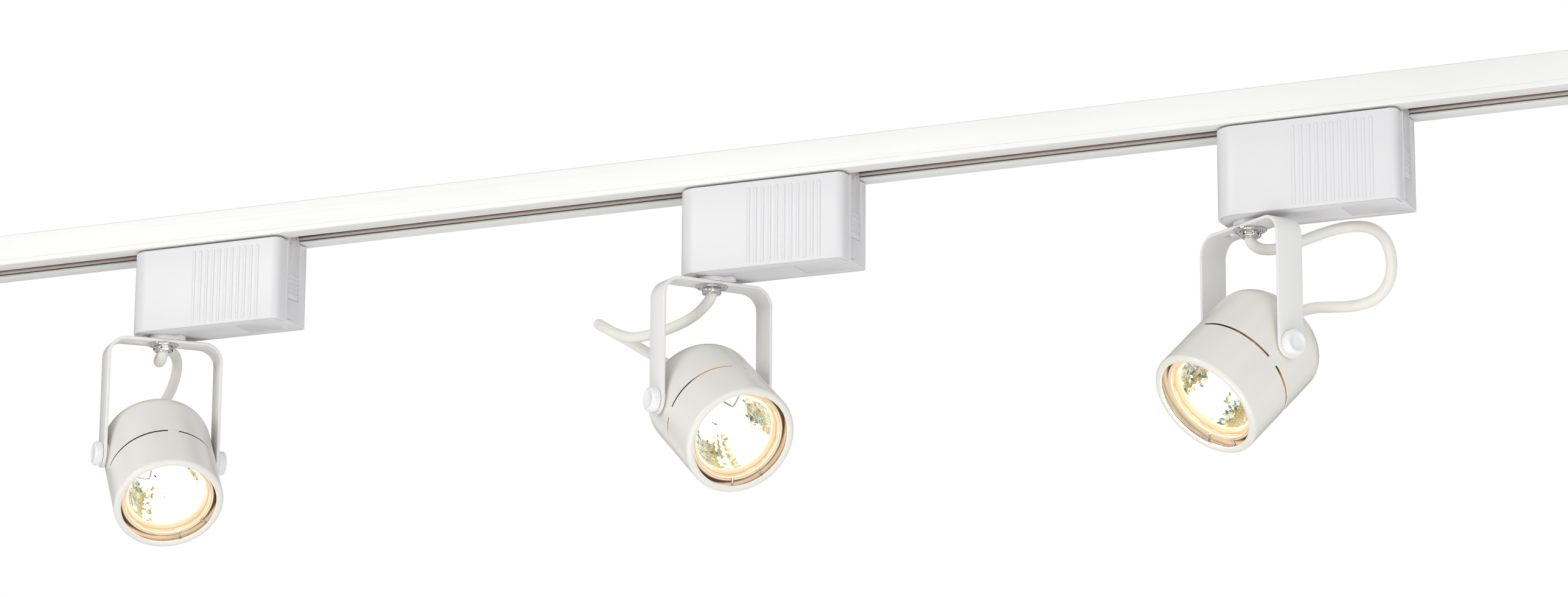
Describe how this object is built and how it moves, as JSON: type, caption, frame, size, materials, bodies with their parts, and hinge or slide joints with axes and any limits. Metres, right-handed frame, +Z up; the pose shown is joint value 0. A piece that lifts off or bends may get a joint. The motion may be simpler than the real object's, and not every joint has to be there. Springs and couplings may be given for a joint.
{
  "type": "track lighting fixture",
  "caption": "Ceiling track with sliding transformer adapters, each carrying a pan-and-tilt yoke and a cylindrical reflector-lamp spot head.",
  "frame": {"origin": "centre of the track's ceiling face, halfway along the track extrusion", "axes": "+X along the track towards the live feed end, -Y towards the front, where the housings' ribbed covers face, +Z up to the ceiling"},
  "size_m": [1.2845, 0.0951, 0.181],
  "materials": {
    "track_paint": "satin white enamel on extruded aluminium",
    "insulator": "moulded, slightly warm white",
    "copper": "bare rolled copper strip",
    "housing_plastic": "cool white, lightly textured moulding",
    "brass": "stamped spring brass",
    "zinc_steel": "zinc plated",
    "transformer_core": "potted electronic transformer",
    "chrome": "bright plated",
    "yoke_paint": "satin white powder coat on steel strap",
    "braided_sleeve": "woven glass-fibre sleeve",
    "head_paint": "satin off-white powder coat",
    "lamp_glass": "dichroic reflector with clear front glass",
    "porcelain": "glazed lamp holder",
    "spring_steel": "bent spring wire",
    "knob_plastic": "white moulding over a steel screw"
  },
  "bodies": {
    "track": {"track": "track_paint", "track_insulators": "insulator", "track_conductors": "copper", "end_cap": "housing_plastic", "feed_housing": "housing_plastic", "feed_terminals": "brass"},
    "adapter_1": {"adapter_cover_1": "housing_plastic", "adapter_back_1": "housing_plastic", "cover_screws_1": "zinc_steel", "contact_head_1": "insulator", "contact_blades_1": "brass", "transformer_1": "transformer_core", "swivel_disc_1": "housing_plastic"},
    "latch_1": {"latch_lever_1": "housing_plastic"},
    "yoke_1": {"swivel_nipple_1": "chrome", "yoke_1": "yoke_paint", "cable_1": "braided_sleeve"},
    "head_1": {"front_shell_1": "head_paint", "rear_shell_1": "head_paint", "lamp_1": "lamp_glass", "lamp_socket_1": "porcelain", "lamp_clip_1": "spring_steel"},
    "knob_left_1": {"knob_left_1": "knob_plastic"},
    "knob_right_1": {"knob_right_1": "knob_plastic"},
    "adapter_2": {"adapter_cover_2": "housing_plastic", "adapter_back_2": "housing_plastic", "cover_screws_2": "zinc_steel", "contact_head_2": "insulator", "contact_blades_2": "brass", "transformer_2": "transformer_core", "swivel_disc_2": "housing_plastic"},
    "latch_2": {"latch_lever_2": "housing_plastic"},
    "yoke_2": {"swivel_nipple_2": "chrome", "yoke_2": "yoke_paint", "cable_2": "braided_sleeve"},
    "head_2": {"front_shell_2": "head_paint", "rear_shell_2": "head_paint", "lamp_2": "lamp_glass", "lamp_socket_2": "porcelain", "lamp_clip_2": "spring_steel"},
    "knob_left_2": {"knob_left_2": "knob_plastic"},
    "knob_right_2": {"knob_right_2": "knob_plastic"},
    "adapter_3": {"adapter_cover_3": "housing_plastic", "adapter_back_3": "housing_plastic", "cover_screws_3": "zinc_steel", "contact_head_3": "insulator", "contact_blades_3": "brass", "transformer_3": "transformer_core", "swivel_disc_3": "housing_plastic"},
    "latch_3": {"latch_lever_3": "housing_plastic"},
    "yoke_3": {"swivel_nipple_3": "chrome", "yoke_3": "yoke_paint", "cable_3": "braided_sleeve"},
    "head_3": {"front_shell_3": "head_paint", "rear_shell_3": "head_paint", "lamp_3": "lamp_glass", "lamp_socket_3": "porcelain", "lamp_clip_3": "spring_steel"},
    "knob_left_3": {"knob_left_3": "knob_plastic"},
    "knob_right_3": {"knob_right_3": "knob_plastic"}
  },
  "joints": [
    {"name": "slide_1", "type": "slide", "parent": "track", "child": "adapter_1", "axis": [1, 0, 0], "range_m": [-0.15, 0.06]},
    {"name": "latch_1", "type": "hinge", "parent": "adapter_1", "child": "latch_1", "pos_m": [-0.2658, 0, -0.031], "axis": [0, 1, 0], "range_deg": [0, 6], "stiffness_Nm_per_rad": 0.25},
    {"name": "pan_1", "type": "hinge", "parent": "adapter_1", "child": "yoke_1", "pos_m": [-0.3444, 0, -0.068], "axis": [0, 0, 1], "range_deg": [-194, 102]},
    {"name": "tilt_1", "type": "hinge", "parent": "yoke_1", "child": "head_1", "pos_m": [-0.3444, 0, -0.1313], "axis": [0.6947, 0.7193, 0], "range_deg": [-48, 52], "deforming": ["cable_1"]},
    {"name": "knob_left_1", "type": "hinge", "parent": "head_1", "child": "knob_left_1", "pos_m": [-0.36837, -0.02482, -0.1313], "axis": [-0.6947, -0.7193, 0], "range_deg": [0, 360]},
    {"name": "knob_right_1", "type": "hinge", "parent": "head_1", "child": "knob_right_1", "pos_m": [-0.32043, 0.02482, -0.1313], "axis": [0.6947, 0.7193, 0], "range_deg": [0, 360]},
    {"name": "slide_2", "type": "slide", "parent": "track", "child": "adapter_2", "axis": [1, 0, 0], "range_m": [-0.06, 0.06]},
    {"name": "latch_2", "type": "hinge", "parent": "adapter_2", "child": "latch_2", "pos_m": [0.0686, 0, -0.031], "axis": [0, 1, 0], "range_deg": [0, 6], "stiffness_Nm_per_rad": 0.25},
    {"name": "pan_2", "type": "hinge", "parent": "adapter_2", "child": "yoke_2", "pos_m": [-0.01, 0, -0.068], "axis": [0, 0, 1], "range_deg": [-202, 94]},
    {"name": "tilt_2", "type": "hinge", "parent": "yoke_2", "child": "head_2", "pos_m": [-0.01, 0, -0.1313], "axis": [0.5878, 0.809, 0], "range_deg": [-36, 64], "deforming": ["cable_2"]},
    {"name": "knob_left_2", "type": "hinge", "parent": "head_2", "child": "knob_left_2", "pos_m": [-0.03028, -0.02791, -0.1313], "axis": [-0.5878, -0.809, 0], "range_deg": [0, 360]},
    {"name": "knob_right_2", "type": "hinge", "parent": "head_2", "child": "knob_right_2", "pos_m": [0.01028, 0.02791, -0.1313], "axis": [0.5878, 0.809, 0], "range_deg": [0, 360]},
    {"name": "slide_3", "type": "slide", "parent": "track", "child": "adapter_3", "axis": [1, 0, 0], "range_m": [-0.06, 0.2]},
    {"name": "latch_3", "type": "hinge", "parent": "adapter_3", "child": "latch_3", "pos_m": [0.3636, 0, -0.031], "axis": [0, 1, 0], "range_deg": [0, 6], "stiffness_Nm_per_rad": 0.25},
    {"name": "pan_3", "type": "hinge", "parent": "adapter_3", "child": "yoke_3", "pos_m": [0.285, 0, -0.068], "axis": [0, 0, 1], "range_deg": [-114, 182]},
    {"name": "tilt_3", "type": "hinge", "parent": "yoke_3", "child": "head_3", "pos_m": [0.285, 0, -0.1313], "axis": [0.829, -0.5592, 0], "range_deg": [-44, 56], "deforming": ["cable_3"]},
    {"name": "knob_left_3", "type": "hinge", "parent": "head_3", "child": "knob_left_3", "pos_m": [0.2564, 0.01929, -0.1313], "axis": [-0.829, 0.5592, 0], "range_deg": [0, 360]},
    {"name": "knob_right_3", "type": "hinge", "parent": "head_3", "child": "knob_right_3", "pos_m": [0.3136, -0.01929, -0.1313], "axis": [0.829, -0.5592, 0], "range_deg": [0, 360]}
  ]
}
